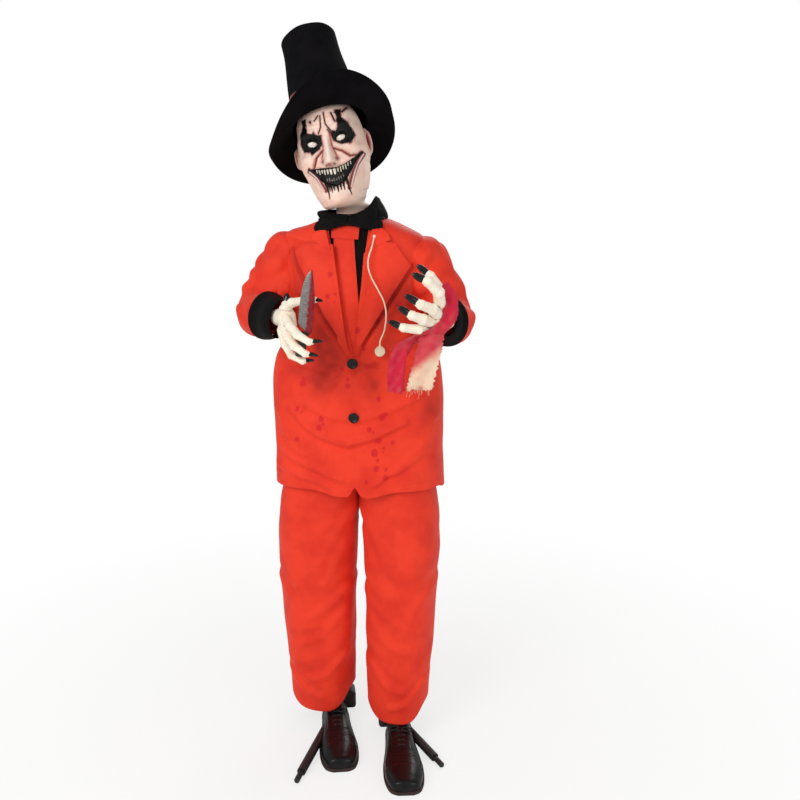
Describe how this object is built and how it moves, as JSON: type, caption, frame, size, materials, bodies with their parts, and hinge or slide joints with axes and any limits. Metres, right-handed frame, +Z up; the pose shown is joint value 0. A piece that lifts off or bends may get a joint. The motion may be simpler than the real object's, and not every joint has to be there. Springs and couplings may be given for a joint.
{
  "type": "animated halloween clown",
  "caption": "Life-size standing clown prop with mask, top hat and suit on a splayed tube stand; the head turns by motor, the arms are posable and the hands hold a knife and gauze.",
  "frame": {"origin": "on the floor, at the middle of the footprint", "axes": "+Z up; the figure faces -Y; +X is the figure's left"},
  "size_m": [0.5895, 0.6877, 1.7809],
  "materials": {
    "black_steel": "satin black paint",
    "bright_steel": "bright plated",
    "black_plastic": "moulded, fine matt texture",
    "grey_plastic": "moulded, matt",
    "gear_plastic": "moulded, natural white",
    "board_green": "lacquered laminate",
    "suit_cloth": "woven polyester, soft sheen",
    "shirt_cloth": "plain weave, matt",
    "patent_vinyl": "high gloss patent",
    "sole_rubber": "moulded, dull",
    "mask_vinyl": "soft moulded vinyl, painted",
    "hand_vinyl": "soft moulded vinyl, painted",
    "eye_plastic": "polished",
    "former_plastic": "blow moulded, matt",
    "hat_felt": "pressed felt",
    "band_cloth": "satin ribbon",
    "blade_silver": "moulded, silver paint",
    "gauze_cloth": "open gauze, dyed",
    "cord_cream": "soft PVC",
    "button_black": "moulded, glossy"
  },
  "bodies": {
    "root": {"battery_pack": "black_plastic", "box_back": "grey_plastic", "box_front": "grey_plastic", "button_housing": "cord_cream", "circuit_board": "board_green", "cord": "cord_cream", "cord_gland": "cord_cream", "hip_bar": "black_plastic", "jacket": "suit_cloth", "left_foot_hub": "black_plastic", "left_front_outrigger": "black_steel", "left_lapel": "suit_cloth", "left_leg_tube": "black_steel", "left_rear_outrigger": "black_steel", "left_shoe_sole": "sole_rubber", "left_shoe_upper": "patent_vinyl", "lower_button": "button_black", "motor": "bright_steel", "right_foot_hub": "black_plastic", "right_front_outrigger": "black_steel", "right_lapel": "suit_cloth", "right_leg_tube": "black_steel", "right_rear_outrigger": "black_steel", "right_shoe_sole": "sole_rubber", "right_shoe_upper": "patent_vinyl", "shirt_collar": "shirt_cloth", "shirt_front": "shirt_cloth", "shoulder_bar": "black_plastic", "speaker": "black_steel", "spine_tube": "black_steel", "tie": "suit_cloth", "trousers": "suit_cloth", "upper_button": "button_black"},
    "head": {"neck_shaft": "gear_plastic", "skull": "former_plastic", "mask": "mask_vinyl", "hat": "hat_felt", "hat_band": "band_cloth", "right_eye": "eye_plastic", "left_eye": "eye_plastic"},
    "pinion": {"pinion": "gear_plastic"},
    "right_upper": {"right_upper_arm": "black_steel", "right_upper_sleeve": "suit_cloth"},
    "left_upper": {"left_upper_arm": "black_steel", "left_upper_sleeve": "suit_cloth"},
    "right_fore": {"right_forearm": "black_steel", "right_forearm_sleeve": "suit_cloth", "right_cuff": "shirt_cloth"},
    "left_fore": {"left_forearm": "black_steel", "left_forearm_sleeve": "suit_cloth", "left_cuff": "shirt_cloth"},
    "right_hand": {"right_hand": "hand_vinyl", "knife_blade": "blade_silver", "knife_handle": "black_plastic"},
    "left_hand": {"left_hand": "hand_vinyl", "gauze": "gauze_cloth"},
    "door": {"battery_door": "grey_plastic"},
    "switch": {"power_switch": "black_plastic"},
    "cap": {"button_cap": "cord_cream"}
  },
  "joints": [
    {"name": "head_turn", "type": "hinge", "parent": "root", "child": "head", "pos_m": [0, 0, 1.29], "axis": [0, 0, 1], "range_deg": [-30, 30]},
    {"name": "pinion_turn", "type": "hinge", "parent": "root", "child": "pinion", "pos_m": [0.042, 0, 1.19], "axis": [0, 0, 1], "range_deg": [-90, 90]},
    {"name": "right_shoulder_swing", "type": "hinge", "parent": "root", "child": "right_upper", "pos_m": [-0.156, 0, 1.2353], "axis": [1, 0, 0], "range_deg": [-20, 2]},
    {"name": "left_shoulder_swing", "type": "hinge", "parent": "root", "child": "left_upper", "pos_m": [0.156, 0, 1.2353], "axis": [1, 0, 0], "range_deg": [-20, 8]},
    {"name": "right_elbow_bend", "type": "hinge", "parent": "right_upper", "child": "right_fore", "pos_m": [-0.243, -0.018, 1.112], "axis": [-0.737, -0.3592, 0.5725], "range_deg": [-25, 4]},
    {"name": "left_elbow_bend", "type": "hinge", "parent": "left_upper", "child": "left_fore", "pos_m": [0.234, -0.012, 1.088], "axis": [-0.8829, -0.0959, -0.4597], "range_deg": [-25, 10]},
    {"name": "right_wrist_twist", "type": "hinge", "parent": "right_fore", "child": "right_hand", "pos_m": [-0.14622, -0.19836, 1.12344], "axis": [0.4721, -0.8798, 0.0558], "range_deg": [-25, 25]},
    {"name": "left_wrist_twist", "type": "hinge", "parent": "left_fore", "child": "left_hand", "pos_m": [0.24011, -0.21462, 1.11854], "axis": [0.0298, -0.9884, 0.149], "range_deg": [-25, 25]},
    {"name": "battery_door_swing", "type": "hinge", "parent": "root", "child": "door", "pos_m": [0, 0.04875, 1.06625], "axis": [1, 0, 0], "range_deg": [-35, 0]},
    {"name": "power_switch_slide", "type": "slide", "parent": "root", "child": "switch", "axis": [0, 0, 1], "range_m": [0, 0.004]},
    {"name": "button_press", "type": "slide", "parent": "root", "child": "cap", "axis": [0, 1, 0], "range_m": [0, 0.0012], "stiffness_N_per_m": 400, "springref_m": -0.0004}
  ],
  "couplings": [
    {"joint": "pinion_turn", "follows": "head_turn", "ratio": -3}
  ]
}
